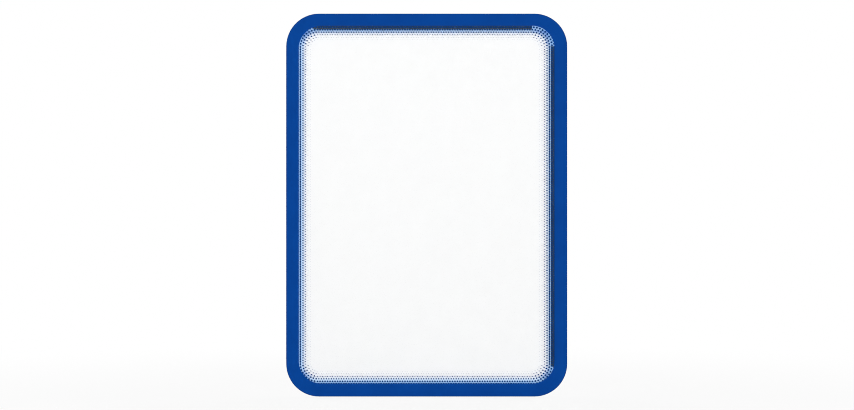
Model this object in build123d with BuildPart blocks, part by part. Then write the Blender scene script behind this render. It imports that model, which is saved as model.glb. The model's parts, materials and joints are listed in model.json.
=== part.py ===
# Magnetic display frame for one A4 sheet: two clear film leaves joined along the left edge,
# each with four magnet strips in welded pockets. Millimetres, +Z up, the front faces -Y.
# The origin is the middle of the rear face, which lies against the wall.
import os

from build123d import *

# The sheet that the frame shows
insert_width = 210.0
insert_height = 297.0
insert_thick = 0.2
insert_play = 2.4  # from the sheet to the pocket walls, on each side
insert_shift_x = 0.7  # where the sheet lies within that play
insert_shift_z = 2.0
insert_lift = 0.05  # between the sheet and the film behind it

# Magnet strips
magnet_width = 8.0
magnet_thick = 0.8
magnet_side_gap = 0.25
magnet_face_gap = 0.05
magnet_corner_gap = 11.7  # each strip ends this far short of the insert's corners
magnet_shift_x = -1.6  # the top and bottom strips lie this far along from the centre of the welds

# Clear films
sheet_thick = 0.3
corner_radius = 28.0
liner_thick = 0.2
outer_weld = 3.7
inner_weld = 1.5
seam_width = 0.6
seam_depth = 0.08
opening_radius = 17.0  # corners of the line where the inner weld starts
weld_shift_x = -1.75  # the welds stand off the centre of the cut outline
weld_shift_z = -1.2

# Blue border layer on the face
border_width = 10.7
border_thick = 0.05
border_shift_z = 0.4  # the window stands this far above the centre of the cut outline
window_radius = 19.5

# Folded hinge film along the left edge
hinge_thick = 0.15
hinge_fold_gap = 0.1  # between the two layers of the folded film
hinge_edge_gap = 0.15  # from the cut edge of the leaves to the hinge axis
hinge_end_gap = 3.5  # from the rounded corners to the ends of the film

# Sizes across the front
pocket_wall = magnet_side_gap + liner_thick  # from a strip to the outside of its pocket
pocket_width = magnet_width + 2 * pocket_wall
leaf_margin = insert_play + pocket_width + outer_weld
leaf_width = insert_width + 2 * leaf_margin
leaf_height = insert_height + 2 * leaf_margin
opening_width = insert_width + 2 * insert_play
opening_height = insert_height + 2 * insert_play
weld_centre = (weld_shift_x, weld_shift_z)

# Levels, as distances in front of the wall
pocket_depth = magnet_thick + 2 * magnet_face_gap
leaf_thick = sheet_thick + pocket_depth + liner_thick
shoulder_radius = 1.5 * liner_thick  # where the liner folds over a strip
leaf_gap = 2 * hinge_thick + hinge_fold_gap
middle_level = leaf_thick + leaf_gap / 2
face_level = 2 * middle_level
middle_plane = Plane.XZ.offset(middle_level)
liner_plane = Plane.XZ.offset(sheet_thick)
flange_plane = Plane.XZ.offset(sheet_thick + liner_thick)
magnet_plane = Plane.XZ.offset(sheet_thick + magnet_face_gap)

# Each side's strip: centre on the front, length along X and length along Z
strip_x = (opening_width + pocket_width) / 2
strip_z = (opening_height + pocket_width) / 2
across_length = insert_width - 2 * magnet_corner_gap
upright_length = insert_height - 2 * magnet_corner_gap
across_x = weld_shift_x + magnet_shift_x
strips = {
    "top": ((across_x, weld_shift_z + strip_z), across_length, magnet_width),
    "bottom": ((across_x, weld_shift_z - strip_z), across_length, magnet_width),
    "left": ((weld_shift_x - strip_x, weld_shift_z), magnet_width, upright_length),
    "right": ((weld_shift_x + strip_x, weld_shift_z), magnet_width, upright_length),
}

# Hinge film
hinge_x = -leaf_width / 2 - hinge_edge_gap
hinge_reach = weld_shift_x - strip_x + magnet_width / 2 - hinge_x
hinge_length = leaf_height - 2 * corner_radius - 2 * hinge_end_gap

os.makedirs("parts", exist_ok=True)


def save(piece, name):
    piece.part.label = name
    export_step(piece.part, f"parts/{name}.step")


def save_both(back_piece, name):
    # The front leaf's pieces are the back leaf's, mirrored about the plane where the leaves meet
    save(back_piece, f"back_{name}")
    with BuildPart() as front_piece:
        mirror(back_piece.part, about=middle_plane)
    save(front_piece, f"front_{name}")


# Clear sheet of a leaf
with BuildPart() as sheet:
    with BuildSketch(Plane.XZ):
        RectangleRounded(leaf_width, leaf_height, corner_radius)
    extrude(amount=sheet_thick)
save_both(sheet, "sheet")

# Liner of a leaf: a ring of film welded to the sheet and raised into a pocket over each strip
with BuildPart() as liner:
    with BuildSketch(liner_plane):
        RectangleRounded(leaf_width, leaf_height, corner_radius)
        with Locations(weld_centre):
            RectangleRounded(
                opening_width - 2 * inner_weld,
                opening_height - 2 * inner_weld,
                opening_radius - inner_weld,
                mode=Mode.SUBTRACT,
            )
    extrude(amount=liner_thick)
    # Seams pressed into the film: the cut rim, and the line where the inner weld starts
    with BuildSketch(flange_plane):
        RectangleRounded(leaf_width, leaf_height, corner_radius)
        RectangleRounded(
            leaf_width - 2 * seam_width,
            leaf_height - 2 * seam_width,
            corner_radius - seam_width,
            mode=Mode.SUBTRACT,
        )
        with Locations(weld_centre):
            RectangleRounded(opening_width, opening_height, opening_radius)
            RectangleRounded(
                opening_width - 2 * seam_width,
                opening_height - 2 * seam_width,
                opening_radius - seam_width,
                mode=Mode.SUBTRACT,
            )
    extrude(amount=-seam_depth, mode=Mode.SUBTRACT)
    # Pockets, first as blocks with rounded shoulders, then hollowed from the sheet's side
    with BuildSketch(liner_plane):
        for centre, length_x, length_z in strips.values():
            with Locations(centre):
                Rectangle(length_x + 2 * pocket_wall, length_z + 2 * pocket_wall)
    extrude(amount=pocket_depth + liner_thick)
    pocket_tops = liner.faces().filter_by(Axis.Y).group_by(Axis.Y)[0]
    fillet(pocket_tops.edges(), shoulder_radius)
    with BuildSketch(liner_plane):
        for centre, length_x, length_z in strips.values():
            with Locations(centre):
                Rectangle(length_x + 2 * magnet_side_gap, length_z + 2 * magnet_side_gap)
    extrude(amount=pocket_depth, mode=Mode.SUBTRACT)
save_both(liner, "liner")

# Magnet strips, one in each pocket
for side, (centre, length_x, length_z) in strips.items():
    with BuildPart() as magnet:
        with BuildSketch(magnet_plane):
            with Locations(centre):
                Rectangle(length_x, length_z)
        extrude(amount=magnet_thick)
    save_both(magnet, f"magnet_{side}")

# Blue border layer on the face of the front sheet
with BuildPart() as border:
    with BuildSketch(Plane.XZ.offset(face_level)):
        RectangleRounded(leaf_width, leaf_height, corner_radius)
        with Locations((0, border_shift_z)):
            RectangleRounded(
                leaf_width - 2 * border_width,
                leaf_height - 2 * border_width,
                window_radius,
                mode=Mode.SUBTRACT,
            )
    extrude(amount=border_thick)
save(border, "front_border")

# Hinge film: a hairpin fold round the hinge axis, with a leg on the left pocket of each leaf
with BuildPart() as hinge:
    with BuildSketch(Plane.XY.offset(-hinge_length / 2)):
        with Locations((hinge_x, -middle_level)):
            Circle(leaf_gap / 2)
            Rectangle(hinge_reach, leaf_gap, align=(Align.MIN, Align.CENTER))
            Circle(hinge_fold_gap / 2, mode=Mode.SUBTRACT)
            Rectangle(hinge_reach, hinge_fold_gap, align=(Align.MIN, Align.CENTER), mode=Mode.SUBTRACT)
    extrude(amount=hinge_length)
save(hinge, "hinge_strip")

# The sheet that the frame shows, loose in the back leaf's tray
with BuildPart() as insert:
    with BuildSketch(flange_plane.offset(insert_lift)):
        with Locations((weld_shift_x + insert_shift_x, weld_shift_z + insert_shift_z)):
            Rectangle(insert_width, insert_height)
    extrude(amount=insert_thick)
save(insert, "photo_sheet")
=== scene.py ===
import json
import math

import bpy
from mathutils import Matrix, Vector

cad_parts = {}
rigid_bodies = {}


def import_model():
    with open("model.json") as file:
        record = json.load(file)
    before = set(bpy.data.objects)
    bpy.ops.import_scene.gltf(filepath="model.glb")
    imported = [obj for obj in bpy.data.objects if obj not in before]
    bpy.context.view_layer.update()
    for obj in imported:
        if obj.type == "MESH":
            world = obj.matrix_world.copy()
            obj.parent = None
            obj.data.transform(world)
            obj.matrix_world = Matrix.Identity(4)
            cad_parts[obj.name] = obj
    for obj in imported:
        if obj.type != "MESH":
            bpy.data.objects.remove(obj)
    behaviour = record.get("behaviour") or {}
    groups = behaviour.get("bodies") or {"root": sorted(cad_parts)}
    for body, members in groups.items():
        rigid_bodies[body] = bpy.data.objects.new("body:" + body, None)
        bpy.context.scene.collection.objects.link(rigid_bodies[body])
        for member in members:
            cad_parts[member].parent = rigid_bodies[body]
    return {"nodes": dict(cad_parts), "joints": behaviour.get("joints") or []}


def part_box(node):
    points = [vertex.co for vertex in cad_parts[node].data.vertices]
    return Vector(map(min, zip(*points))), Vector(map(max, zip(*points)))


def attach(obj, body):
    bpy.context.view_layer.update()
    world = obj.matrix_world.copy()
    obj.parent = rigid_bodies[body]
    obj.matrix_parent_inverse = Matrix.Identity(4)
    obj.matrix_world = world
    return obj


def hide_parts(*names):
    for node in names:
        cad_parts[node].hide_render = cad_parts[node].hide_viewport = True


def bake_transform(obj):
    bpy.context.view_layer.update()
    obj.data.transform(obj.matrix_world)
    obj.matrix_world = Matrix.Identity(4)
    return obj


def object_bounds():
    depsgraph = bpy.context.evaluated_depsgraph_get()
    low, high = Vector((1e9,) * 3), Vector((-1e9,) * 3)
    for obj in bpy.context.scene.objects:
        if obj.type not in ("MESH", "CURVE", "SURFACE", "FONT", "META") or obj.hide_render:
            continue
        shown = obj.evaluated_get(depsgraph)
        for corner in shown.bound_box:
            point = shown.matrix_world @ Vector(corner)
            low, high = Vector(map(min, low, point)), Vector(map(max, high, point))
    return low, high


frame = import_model()
cadBox = [list(corner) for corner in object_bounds()]
nodes = frame["nodes"]
mm = 0.001

# The front leaf as it was packed: half sizes on the front, and the faces of its sheet and border
leafLow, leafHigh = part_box("front_sheet")
halfWidth = (leafHigh.x - leafLow.x) / 2
halfHeight = (leafHigh.z - leafLow.z) / 2
sheetFace = leafLow.y
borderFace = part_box("front_border")[0].y
leafCorner = 28 * mm  # radius of the cut corners

# The window that the blue border leaves open
borderWindow = {
    "margin": 10.7 * mm,  # from the cut edge
    "rise": 0.4 * mm,  # of its centre over the middle of the leaf
    "radius": 19.5 * mm,
}
windowHalfX = halfWidth - borderWindow["margin"]
windowHalfZ = halfHeight - borderWindow["margin"]
print("frame loaded:", len(nodes), "nodes")


# Shader maths: a wire is one socket, and an expression on wires adds Math nodes
class Wire:
    def __init__(self, tree, socket=None):
        self.tree = tree
        self.socket = socket

    def node(self, kind, settings, values, output=0):
        made = self.tree.nodes.new(kind)
        for name, value in settings.items():
            setattr(made, name, value)
        for name, value in values.items():
            if isinstance(value, Wire):
                self.tree.links.new(value.socket, made.inputs[name])
            else:
                made.inputs[name].default_value = value
        return Wire(self.tree, made.outputs[output] if made.outputs else None)

    def math(self, operation, first, second=0.0):
        return self.node("ShaderNodeMath", {"operation": operation}, {0: first, 1: second})

    def __add__(self, other):
        return self.math("ADD", self, other)

    def __radd__(self, other):
        return self.math("ADD", other, self)

    def __sub__(self, other):
        return self.math("SUBTRACT", self, other)

    def __rsub__(self, other):
        return self.math("SUBTRACT", other, self)

    def __mul__(self, other):
        return self.math("MULTIPLY", self, other)

    def __rmul__(self, other):
        return self.math("MULTIPLY", other, self)

    def __abs__(self):
        return self.math("ABSOLUTE", self)

    def most(self, other):
        return self.math("MAXIMUM", self, other)

    def least(self, other):
        return self.math("MINIMUM", self, other)

    def root(self):
        return self.math("SQRT", self)

    def power(self, exponent):
        return self.math("POWER", self, exponent)

    def fade(self, low, high):  # 0 up to low, 1 from high, smooth between
        return self.node(
            "ShaderNodeMapRange",
            {"interpolation_type": "SMOOTHSTEP"},
            {"Value": self, "From Min": low, "From Max": high},
        )

    def blend(self, colourA, colourB):  # colourA where this wire is 0, colourB where it is 1
        # a Mix node has its colours on inputs 6 and 7 and on output 2
        return self.node("ShaderNodeMix", {"data_type": "RGBA"}, {0: self, 6: colourA, 7: colourB}, 2)


def newMaterial(name):
    material = bpy.data.materials.new(name)
    material.use_nodes = True
    material.node_tree.nodes.clear()
    return material, Wire(material.node_tree)


def finishMaterial(material, wire, surface):
    wire.node("ShaderNodeOutputMaterial", {}, {"Surface": surface})
    return material


def objectPlace(wire):
    return wire.node("ShaderNodeTexCoord", {}, {}, "Object")


def along(wire, vector, axis):
    return wire.node("ShaderNodeSeparateXYZ", {}, {"Vector": vector}, axis)


def noise(wire, place, size, detail=2.0, roughness=0.5):  # size of one patch in metres
    values = {"Vector": place, "Scale": 1 / size, "Detail": detail, "Roughness": roughness}
    return wire.node("ShaderNodeTexNoise", {}, values)


def stretched(wire, place, scale):
    return wire.node("ShaderNodeMapping", {}, {"Vector": place, "Scale": scale})


def bump(wire, height, depth):
    return wire.node("ShaderNodeBump", {}, {"Distance": depth, "Height": height})


def mixture(first, second, firstShare):
    return first * firstShare + second * (1 - firstShare)


# Which way a face of a piece looks: to the rear, to the front, or sideways as a cut edge does
turned = {"from": 0.3, "to": 0.7}  # shares of the normal that lie along Y


def rearLook(wire):
    return along(wire, wire.node("ShaderNodeTexCoord", {}, {}, "Normal"), "Y")


def onRear(wire):
    return rearLook(wire).fade(turned["from"], turned["to"])


def onFront(wire):
    return 1 - rearLook(wire).fade(-turned["to"], -turned["from"])


def onCutEdge(wire):
    return 1 - abs(rearLook(wire)).fade(turned["from"], turned["to"])


# Distance outwards from a rounded rectangle on the front, negative inside it
def roundedRect(wire, place, halfX, halfZ, radius, centre):
    overX = abs(along(wire, place, "X") - centre[0]) - (halfX - radius)
    overZ = abs(along(wire, place, "Z") - centre[1]) - (halfZ - radius)
    cornerX = overX.most(0.0)
    cornerZ = overZ.most(0.0)
    outside = (cornerX * cornerX + cornerZ * cornerZ).root()
    inside = overX.most(overZ).least(0.0)
    return outside + inside - radius


# Blue layer of the border: matt, with a fine grain and a darker cut edge
blueInk = {
    "light": (0.0006, 0.058, 0.310, 1),
    "dark": (0.0004, 0.051, 0.281, 1),
    "cutEdge": (0.0003, 0.035, 0.200, 1),
    "underside": (0.14, 0.35, 0.82, 1),  # paler, over a white base coat
    "edgeWidth": 0.9 * mm,
    "mottle": 22 * mm,
    "mottleShare": 0.7,  # of the tone, the rest is grain
    "toneFrom": 0.3,
    "toneTo": 0.7,
    "grain": 0.35 * mm,
    "grainDepth": 0.012 * mm,
    "roughness": 0.52,
    "grainRoughness": 0.16,
    "specular": 0.03,
}
# Dots: the same ink, darker than the border's
dotInk = dict(
    blueInk,
    light=(0.002, 0.042, 0.185, 1),
    dark=(0.002, 0.036, 0.160, 1),
)


def makeInk(name, ink):
    material, wire = newMaterial(name)
    place = objectPlace(wire)
    mottle = noise(wire, place, ink["mottle"], detail=3.0)
    grain = noise(wire, place, ink["grain"], roughness=0.6)
    tone = mixture(mottle, grain, ink["mottleShare"]).fade(ink["toneFrom"], ink["toneTo"])
    colour = tone.blend(ink["light"], ink["dark"])
    fromEdge = roundedRect(wire, place, halfWidth, halfHeight, leafCorner, (0.0, 0.0))
    rim = fromEdge.fade(-ink["edgeWidth"], 0.0)
    colour = rim.blend(colour, ink["cutEdge"])
    colour = onRear(wire).blend(colour, ink["underside"])
    surface = wire.node(
        "ShaderNodeBsdfPrincipled",
        {},
        {
            "Base Color": colour,
            "Roughness": ink["roughness"] + grain * ink["grainRoughness"],
            "Specular IOR Level": ink["specular"],
            "Normal": bump(wire, grain, ink["grainDepth"]),
        },
    )
    return finishMaterial(material, wire, surface)


# Clear film: mostly see-through, with the gloss and the slight waves of soft plastic
clearSheet = {
    "tint": (0.998, 0.999, 1.0, 1),  # of the light that passes a face
    "gloss": 0.002,  # share of the surroundings that a face mirrors when seen square on
    "grazing": 0.5,  # the same when it is seen edge on
    "grazingPower": 5.0,  # how late the gloss rises towards edge on
    "haze": 0.001,
    "edgeHaze": 0.35,
    "edgeColour": (0.62, 0.76, 0.86, 1),
    "faceColour": (0.97, 0.985, 1.0, 1),
    "wave": 60 * mm,
    "waveDepth": 0.25 * mm,
    "smear": 9 * mm,
    "roughness": 0.08,
    "smearRoughness": 0.12,
}
linerFilm = dict(
    clearSheet,
    tint=(0.89, 0.912, 0.935, 1),
    haze=0.004,
    wave=14 * mm,
    waveDepth=0.12 * mm,
)
# Weld line along both upright rims of the liner; its dark colour is painted shade, standing for the shade
# and refraction at the seam's edge
seamShadeLine = {
    "centreX": -1.5 * mm,
    "halfX": 106.3 * mm,
    "endZ": 134 * mm,
    "endSoft": 6 * mm,
    "lineHalf": 0.3 * mm,
    "lineSoft": 0.25 * mm,
    "lineHaze": 0.45,
    "seamShadeColour": (0.02, 0.05, 0.11, 1),
}
# Painted blue light between the dots: a see-through pale blue tint on the face of the front sheet,
# standing for the blue light that the dots' backs throw onto the paper; it fades inwards with the dots
paintedBlueBounce = {
    "centre": (-0.75 * mm, -0.35 * mm),
    "fullInset": 11.5 * mm,
    "noneInset": 18.2 * mm,
    "overlap": 0.1 * mm,  # under the border
    "tint": (0.57, 0.755, 0.985, 1),
}


# Share of the painted seam shade: 1 on the weld line, fading out past its ends
def paintedSeamShade(wire, place, seam):
    fromLine = abs(abs(along(wire, place, "X") - seam["centreX"]) - seam["halfX"])
    across = fromLine.fade(seam["lineHalf"], seam["lineHalf"] + seam["lineSoft"])
    pastEnd = abs(along(wire, place, "Z")).fade(seam["endZ"], seam["endZ"] + seam["endSoft"])
    return (1 - across) * (1 - pastEnd)


# Share of the painted blue light: full near the cut edge, none further in, on front faces within the
# border's window
def blueBounceShare(wire, place, veil):
    fromEdge = roundedRect(wire, place, halfWidth, halfHeight, leafCorner, veil["centre"])
    windowCentre = (0.0, borderWindow["rise"])
    fromWindow = roundedRect(wire, place, windowHalfX, windowHalfZ, borderWindow["radius"], windowCentre)
    shows = onFront(wire) * (1 - fromWindow.fade(0.0, veil["overlap"]))
    return fromEdge.fade(-veil["noneInset"], -veil["fullInset"]) * shows


def makeFilm(name, film, seam=None, veil=None):
    material, wire = newMaterial(name)
    place = objectPlace(wire)
    waves = noise(wire, place, film["wave"], detail=1.0)
    smear = noise(wire, place, film["smear"], detail=4.0, roughness=0.6)
    relief = bump(wire, waves, film["waveDepth"])
    edgeOn = wire.node("ShaderNodeLayerWeight", {}, {"Normal": relief}, "Facing")
    shine = film["gloss"] + film["grazing"] * edgeOn.power(film["grazingPower"])
    cutEdge = onCutEdge(wire)
    cover = shine + smear * film["haze"] + cutEdge * film["edgeHaze"]
    colour = cutEdge.blend(film["faceColour"], film["edgeColour"])
    mirror = 1 - cutEdge
    if seam:
        # the weld line, darkened with painted shade
        line = paintedSeamShade(wire, place, seam)
        cover = cover + line * seam["lineHaze"]
        colour = line.blend(colour, seam["seamShadeColour"])
        mirror = mirror * (1 - line)
    gloss = wire.node(
        "ShaderNodeBsdfPrincipled",
        {},
        {
            "Base Color": colour,
            "Metallic": mirror,
            "Roughness": film["roughness"] + smear * film["smearRoughness"],
            "Normal": relief,
        },
    )
    through = wire.node("ShaderNodeBsdfTransparent", {}, {"Color": film["tint"]})
    # painted blue light: the pale blue tint between the dots
    if veil:
        tinted = wire.node("ShaderNodeBsdfTransparent", {}, {"Color": veil["tint"]})
        share = blueBounceShare(wire, place, veil)
        through = wire.node("ShaderNodeMixShader", {}, {0: share, 1: through, 2: tinted})
    surface = wire.node("ShaderNodeMixShader", {}, {0: cover.least(1.0), 1: through, 2: gloss})
    return finishMaterial(material, wire, surface)


# Flexible magnet strip: dark brown rubber full of ferrite, drawn along its length
magnetRubber = {
    "dark": (0.056, 0.051, 0.048, 1),
    "light": (0.092, 0.084, 0.079, 1),
    "speck": 0.5 * mm,
    "drawn": 0.6 * mm,
    "drawnStretch": 0.02,
    "drawnTone": 0.5,  # share of the drawn lines in the tone, the rest is specks
    "drawnRelief": 0.6,  # and in the relief
    "toneFrom": 0.35,
    "toneTo": 0.65,
    "depth": 0.03 * mm,
    "roughness": 0.55,
    "speckRoughness": 0.25,
    "specular": 0.3,
}


def makeMagnetRubber(name, alongX):
    material, wire = newMaterial(name)
    place = objectPlace(wire)
    slow = magnetRubber["drawnStretch"]
    drawnPlace = stretched(wire, place, (slow, 1, 1) if alongX else (1, 1, slow))
    drawn = noise(wire, drawnPlace, magnetRubber["drawn"])
    speck = noise(wire, place, magnetRubber["speck"], detail=3.0, roughness=0.7)
    tone = mixture(drawn, speck, magnetRubber["drawnTone"])
    tone = tone.fade(magnetRubber["toneFrom"], magnetRubber["toneTo"])
    relief = mixture(drawn, speck, magnetRubber["drawnRelief"])
    surface = wire.node(
        "ShaderNodeBsdfPrincipled",
        {},
        {
            "Base Color": tone.blend(magnetRubber["dark"], magnetRubber["light"]),
            "Roughness": magnetRubber["roughness"] + speck * magnetRubber["speckRoughness"],
            "Specular IOR Level": magnetRubber["specular"],
            "Normal": bump(wire, relief, magnetRubber["depth"]),
        },
    )
    return finishMaterial(material, wire, surface)


# Blank office paper
whitePaper = {
    "light": (0.975, 0.975, 0.97, 1),
    "dark": (0.955, 0.955, 0.95, 1),
    "cloud": 14 * mm,
    "cloudTone": 0.5,  # share of the clouds in the tone, the rest is fibre
    "toneFrom": 0.35,
    "toneTo": 0.65,
    "fibre": 0.4 * mm,
    "fibreStretch": 0.25,
    "depth": 0.02 * mm,
    "roughness": 0.85,
    "fibreRoughness": 0.1,
    "specular": 0.2,
}


def makeWhitePaper():
    material, wire = newMaterial("whitePaper")
    place = objectPlace(wire)
    cloud = noise(wire, place, whitePaper["cloud"], detail=4.0, roughness=0.6)
    fibrePlace = stretched(wire, place, (1, 1, whitePaper["fibreStretch"]))
    fibre = noise(wire, fibrePlace, whitePaper["fibre"], detail=3.0, roughness=0.6)
    tone = mixture(cloud, fibre, whitePaper["cloudTone"])
    tone = tone.fade(whitePaper["toneFrom"], whitePaper["toneTo"])
    surface = wire.node(
        "ShaderNodeBsdfPrincipled",
        {},
        {
            "Base Color": tone.blend(whitePaper["dark"], whitePaper["light"]),
            "Roughness": whitePaper["roughness"] + fibre * whitePaper["fibreRoughness"],
            "Specular IOR Level": whitePaper["specular"],
            "Normal": bump(wire, fibre, whitePaper["depth"]),
        },
    )
    return finishMaterial(material, wire, surface)


borderFinish = makeInk("blueInk", blueInk)
dotFinish = makeInk("dotInk", dotInk)
frontSheetFinish = makeFilm("frontSheetFilm", clearSheet, veil=paintedBlueBounce)
backSheetFinish = makeFilm("backSheetFilm", clearSheet)
linerFinish = makeFilm("linerFilm", linerFilm, seam=seamShadeLine)
hingeFinish = makeFilm("hingeFilm", linerFilm)
acrossFinish = makeMagnetRubber("magnetRubberAcross", True)
uprightFinish = makeMagnetRubber("magnetRubberUpright", False)
paperFinish = makeWhitePaper()


def dress(part, finish):
    part.data.materials.clear()
    part.data.materials.append(finish)


for leaf in ("front", "back"):
    dress(nodes[leaf + "_liner"], linerFinish)
    for side in ("top", "bottom"):
        dress(nodes[leaf + "_magnet_" + side], acrossFinish)
    for side in ("left", "right"):
        dress(nodes[leaf + "_magnet_" + side], uprightFinish)
dress(nodes["front_sheet"], frontSheetFinish)
dress(nodes["back_sheet"], backSheetFinish)
dress(nodes["front_border"], borderFinish)
dress(nodes["photo_sheet"], paperFinish)
print("finishes: film, blue layer, magnet rubber and paper")


# Helpers that select and apply
def deselect():
    bpy.ops.object.select_all(action="DESELECT")


def pickOnly(part):
    deselect()
    part.select_set(True)
    bpy.context.view_layer.objects.active = part


def applyPlace():
    bpy.ops.object.transform_apply(location=True, rotation=True, scale=True)


def selectPoints(part, test):
    for face in part.data.polygons:
        face.select = False
    for edge in part.data.edges:
        edge.select = False
    for point in part.data.vertices:
        point.select = test(point.co)


def applyModifier(part, kind, settings):
    added = part.modifiers.new(kind.lower(), kind)
    for name, value in settings.items():
        setattr(added, name, value)
    pickOnly(part)
    bpy.ops.object.modifier_apply(modifier=added.name)


# Dot fade inside the border: rows of ink dots that follow the cut edge and shrink inwards
dotFade = {
    "centre": (-1.5 * mm, -0.35 * mm),  # the dots stand off the centre of the cut outline
    "narrower": 0.3 * mm,  # the artwork's side edges lie this far inside the cut ones
    "firstInset": 9.06 * mm,  # from the artwork's edge to the row that scallops the border
    "rowStep": 2.14 * mm,
    "pitch": 2.14 * mm,
    "cornerPitch": 2.6 * mm,
    "diameters": (2.0 * mm, 1.75 * mm, 1.5 * mm, 1.2 * mm, 0.87 * mm, 0.45 * mm, 0.25 * mm),
    "cornerDiameters": (2.0 * mm, 1.7 * mm, 1.6 * mm, 1.45 * mm, 1.2 * mm, 0.85 * mm, 0.5 * mm),
    "sunk": 0.01 * mm,  # into the sheet
    "rimHeight": 0.025 * mm,  # over the sheet
    "crown": 0.015 * mm,
    "shoulder": 0.22,  # share of the radius that the rim's slope takes
    "bigSides": 14,
    "smallSides": 8,
    "smallUnder": 1.0 * mm,  # diameter under which a dot has the fewer sides
}
artHalfWidth = halfWidth - dotFade["narrower"]


def makeDot(name, x, z, diameter):
    deselect()
    low = sheetFace + dotFade["sunk"]
    high = sheetFace - dotFade["rimHeight"]
    bpy.ops.mesh.primitive_cylinder_add(
        vertices=dotFade["smallSides"] if diameter < dotFade["smallUnder"] else dotFade["bigSides"],
        radius=diameter / 2,
        depth=low - high,
        location=(x, (low + high) / 2, z),
        rotation=(math.pi / 2, 0, 0),
    )
    dot = bpy.context.object
    dot.name = name
    applyPlace()
    selectPoints(dot, lambda point: point.y < sheetFace)
    bpy.ops.object.mode_set(mode="EDIT")
    bpy.ops.mesh.inset(thickness=dotFade["shoulder"] * diameter / 2, depth=dotFade["crown"])
    bpy.ops.object.mode_set(mode="OBJECT")
    return dot


# A straight run of dots and the same run on the opposite side
def dotRun(name, x, z, diameter, count, step, across):
    run = makeDot(name, x, z, diameter)
    for copies, offset in ((count, step), (2, across)):
        applyModifier(
            run,
            "ARRAY",
            {
                "count": copies,
                "use_relative_offset": False,
                "use_constant_offset": True,
                "constant_offset_displace": offset,
            },
        )
    return run


# The dots round one corner, mirrored to the other three
def dotCorners(name, radius, diameter, staggered):
    cornerX = artHalfWidth - leafCorner
    cornerZ = halfHeight - leafCorner
    gaps = max(2, round(radius * math.pi / 2 / dotFade["cornerPitch"]))
    turn = math.pi / 2 / gaps
    first = turn * (0.5 if staggered else 1.0)
    count = gaps if staggered else gaps - 1
    dots = makeDot(name, cornerX + radius * math.sin(first), cornerZ + radius * math.cos(first), diameter)
    if count > 1:
        pickOnly(dots)
        bpy.ops.object.mode_set(mode="EDIT")
        bpy.ops.mesh.select_all(action="SELECT")
        bpy.ops.mesh.spin(
            steps=count - 1,
            dupli=True,
            angle=turn * (count - 1),
            center=(cornerX, 0, cornerZ),
            axis=(0, -1, 0),
        )
        bpy.ops.object.mode_set(mode="OBJECT")
    applyModifier(dots, "MIRROR", {"use_axis": (True, False, True), "use_mirror_merge": False})
    return dots


# True for a point that shows in the window of the border
def inWindow(point):
    overX = abs(point.x) - (windowHalfX - borderWindow["radius"])
    overZ = abs(point.z - borderWindow["rise"]) - (windowHalfZ - borderWindow["radius"])
    outside = math.hypot(max(overX, 0.0), max(overZ, 0.0))
    return outside + min(max(overX, overZ), 0.0) < borderWindow["radius"]


def dotRow(number, diameter, cornerDiameter):
    inset = dotFade["firstInset"] + number * dotFade["rowStep"]
    staggered = number % 2 == 1
    straightX = 2 * (artHalfWidth - leafCorner)
    straightZ = 2 * (halfHeight - leafCorner)
    gapsX = round(straightX / dotFade["pitch"])
    gapsZ = round(straightZ / dotFade["pitch"])
    stepX = straightX / gapsX
    stepZ = straightZ / gapsZ
    start = 0.5 if staggered else 0.0
    extra = 0 if staggered else 1  # a plain row has a dot at both ends
    startX = start * stepX - straightX / 2
    startZ = start * stepZ - straightZ / 2
    rowX = artHalfWidth - inset
    rowZ = halfHeight - inset
    name = "dotRow" + str(number + 1)
    row = dotRun(name, startX, rowZ, diameter, gapsX + extra, (stepX, 0, 0), (0, 0, -2 * rowZ))
    upright = dotRun(name, -rowX, startZ, diameter, gapsZ + extra, (0, 0, stepZ), (2 * rowX, 0, 0))
    corners = dotCorners(name, leafCorner - inset, cornerDiameter, staggered)
    pickOnly(row)
    upright.select_set(True)
    corners.select_set(True)
    bpy.ops.object.join()
    row.location = (dotFade["centre"][0], 0, dotFade["centre"][1])
    applyPlace()
    selectPoints(row, inWindow)
    bpy.ops.object.mode_set(mode="EDIT")
    bpy.ops.mesh.select_linked()
    bpy.ops.mesh.select_all(action="INVERT")  # dots that the border hides
    bpy.ops.mesh.delete(type="VERT")
    bpy.ops.mesh.select_all(action="SELECT")
    bpy.ops.mesh.normals_make_consistent(inside=False)
    bpy.ops.object.mode_set(mode="OBJECT")
    row.name = name
    row.data.name = name
    dress(row, dotFinish)
    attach(row, "front_leaf")


for number, sizes in enumerate(zip(dotFade["diameters"], dotFade["cornerDiameters"])):
    dotRow(number, *sizes)
print("dot fade:", len(dotFade["diameters"]), "rows")

# Hinge film: one strip folded round the hinge axis, with a leg on the left pocket of each leaf
hingeStrip = {
    "thick": 0.14 * mm,  # just under the CAD film's, so that it clears the pockets' faces
    "foldRadius": 0.125 * mm,  # to the middle of the film
    "foldSteps": 12,
    "endRadius": 3.0 * mm,
    "endSteps": 5,
    "mergeWithin": 0.001 * mm,
    "stretch": 0.12 * mm,  # to each side of the axis
}


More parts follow.
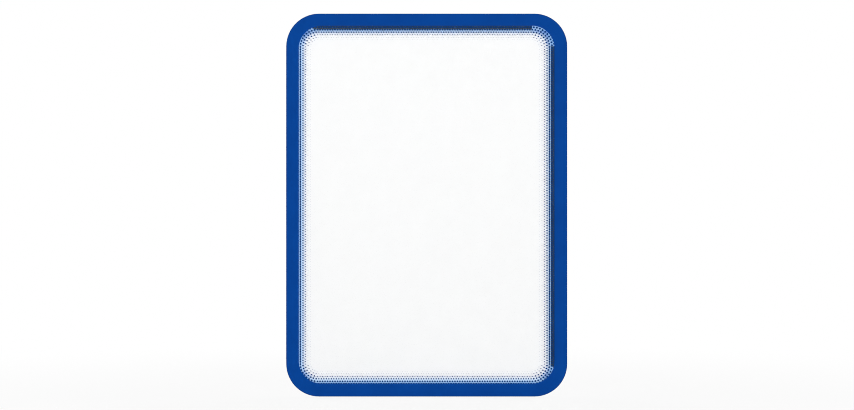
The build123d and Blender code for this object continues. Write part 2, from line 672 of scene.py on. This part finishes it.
def makeHingeFilm():
    hingeJoint = next(joint for joint in frame["joints"] if joint["name"] == "front_hinge")
    axisX, axisY, _ = hingeJoint["pos_m"]
    low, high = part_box("hinge_strip")
    legLength = high.x - axisX
    legMiddle = axisX + legLength / 2
    deselect()
    bpy.ops.mesh.primitive_plane_add(
        size=1,
        location=(legMiddle, axisY + hingeStrip["foldRadius"], 0),
        rotation=(math.pi / 2, 0, 0),
    )
    film = bpy.context.object
    film.name = "hingeFilm"
    film.scale = (legLength, high.z - low.z, 1)
    applyPlace()
    # the fold, then the leg on the front leaf
    selectPoints(film, lambda point: point.x < legMiddle)
    bpy.ops.object.mode_set(mode="EDIT")
    bpy.ops.mesh.spin(
        steps=hingeStrip["foldSteps"], angle=math.pi, center=(axisX, axisY, 0), axis=(0, 0, -1)
    )
    bpy.ops.mesh.extrude_region_move(TRANSFORM_OT_translate={"value": (legLength, 0, 0)})
    bpy.ops.mesh.select_all(action="SELECT")
    bpy.ops.mesh.remove_doubles(threshold=hingeStrip["mergeWithin"])
    bpy.ops.mesh.normals_make_consistent(inside=False)
    bpy.ops.object.mode_set(mode="OBJECT")
    # rounded ends on the legs
    selectPoints(film, lambda point: point.x > legMiddle)
    bpy.ops.object.mode_set(mode="EDIT")
    bpy.ops.mesh.bevel(affect="VERTICES", offset=hingeStrip["endRadius"], segments=hingeStrip["endSteps"])
    bpy.ops.object.mode_set(mode="OBJECT")
    applyModifier(film, "SOLIDIFY", {"thickness": hingeStrip["thick"], "offset": 0.0})
    dress(film, hingeFinish)
    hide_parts("hinge_strip")
    axisY + hingeStrip["stretch"]
    axisY - hingeStrip["stretch"]
    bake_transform(film)


makeHingeFilm()

# Studio, in metres: pale floor, white surroundings, soft lamps
studio = {
    "floorSize": 12.0,
    "floorPale": (0.86, 0.86, 0.86, 1),
    "floorPaleDark": (0.83, 0.83, 0.83, 1),
    "floorCloud": 0.4,  # size of the floor's paler and darker patches
    "floorRoughness": 0.9,
    "floorWhite": 0.88,  # share of plain white where the floor beside the frame is looked at
    "whiteFrom": 0.15,  # further out the floor turns all white
    "whiteTo": 0.8,
    "surround": 0.2,  # strength of the surroundings as a light
}


def seenDirectly(wire):  # 1 for what the eye, a reflection or a look through glass reaches
    byEye = wire.node("ShaderNodeLightPath", {}, {}, "Is Camera Ray")
    byGloss = wire.node("ShaderNodeLightPath", {}, {}, "Is Glossy Ray")
    byGlass = wire.node("ShaderNodeLightPath", {}, {}, "Is Transmission Ray")
    return byEye.most(byGloss).most(byGlass)


def makeFloor():
    deselect()
    bpy.ops.mesh.primitive_plane_add(size=studio["floorSize"], location=(0, 0, cadBox[0][2]))
    floor = bpy.context.object
    floor.name = "studioFloor"
    applyPlace()
    material, wire = newMaterial("paleFloor")
    place = objectPlace(wire)
    cloud = noise(wire, place, studio["floorCloud"], detail=3.0)
    pale = cloud.blend(studio["floorPaleDark"], studio["floorPale"])
    roughness = studio["floorRoughness"]
    matt = wire.node("ShaderNodeBsdfPrincipled", {}, {"Base Color": pale, "Roughness": roughness})
    white = wire.node("ShaderNodeEmission", {}, {"Color": (1, 1, 1, 1), "Strength": 1.0})
    far = wire.node("ShaderNodeVectorMath", {"operation": "LENGTH"}, {0: place}, "Value")
    far = far.fade(studio["whiteFrom"], studio["whiteTo"])
    share = seenDirectly(wire) * (studio["floorWhite"] + far * (1 - studio["floorWhite"]))
    surface = wire.node("ShaderNodeMixShader", {}, {0: share, 1: matt, 2: white})
    dress(floor, finishMaterial(material, wire, surface))


def makeSurround():
    world = bpy.data.worlds.new("studioWhite")
    world.use_nodes = True
    world.node_tree.nodes.clear()
    wire = Wire(world.node_tree)
    strength = studio["surround"] + seenDirectly(wire) * (1 - studio["surround"])
    glow = wire.node("ShaderNodeBackground", {}, {"Color": (1, 1, 1, 1), "Strength": strength})
    wire.node("ShaderNodeOutputWorld", {}, {"Surface": glow})
    bpy.context.scene.world = world


# Each lamp: place and width in metres, power in watts
lamps = {
    "keyLamp": ((-0.62, -2.1, 0.3), 0.7, 16.6),
    "fillLamp": ((0.66, -2.1, 0.2), 0.7, 15.4),
    "rearLeftLamp": ((-1.5, 1.7, 0.9), 1.4, 22.5),
    "rearRightLamp": ((1.5, 1.7, 0.9), 1.4, 22.5),
}


def makeLamp(name, place, size, power):
    data = bpy.data.lights.new(name, "AREA")
    data.shape = "DISK"
    data.size = size
    data.energy = power
    lamp = bpy.data.objects.new(name, data)
    bpy.context.collection.objects.link(lamp)
    lamp.location = place
    # turned to the middle of the frame
    flat = math.hypot(place[0], place[1])
    lamp.rotation_euler = (math.atan2(flat, place[2]), 0, math.atan2(place[0], -place[1]))


makeFloor()
makeSurround()
for name, (place, size, power) in lamps.items():
    makeLamp(name, place, size, power)
print("studio: floor, surroundings and", len(lamps), "lamps")

# Camera square to the front: the photo gives 281 of its 854 pixels to the frame's width
camera = {
    "lens": 100.0,  # in millimetres, as is the sensor
    "sensor": 36.0,
    "imageWidth": 854,
    "frameWidthPixels": 281.0,
    "aim": (0.24 * mm, 0.08 * mm),  # from the middle of the frame
}


def makeCamera():
    data = bpy.data.cameras.new("frontCamera")
    data.lens = camera["lens"]
    data.sensor_width = camera["sensor"]
    eye = bpy.data.objects.new("frontCamera", data)
    bpy.context.collection.objects.link(eye)
    pixelsPerRadian = camera["imageWidth"] * camera["lens"] / camera["sensor"]
    distance = 2 * halfWidth * pixelsPerRadian / camera["frameWidthPixels"]
    eye.location = (camera["aim"][0], borderFace - distance, camera["aim"][1])
    eye.rotation_euler = (math.pi / 2, 0, 0)
    bpy.context.scene.camera = eye


makeCamera()
scene = bpy.context.scene
scene.view_settings.view_transform = "Standard"
scene.cycles.transparent_max_bounces = 24  # eight film faces lie behind each other at the rim
scene.cycles.denoising_prefilter = "NONE"  # keeps the small dots sharp
scene.cycles.filter_width = 1.0  # so does a narrow pixel filter
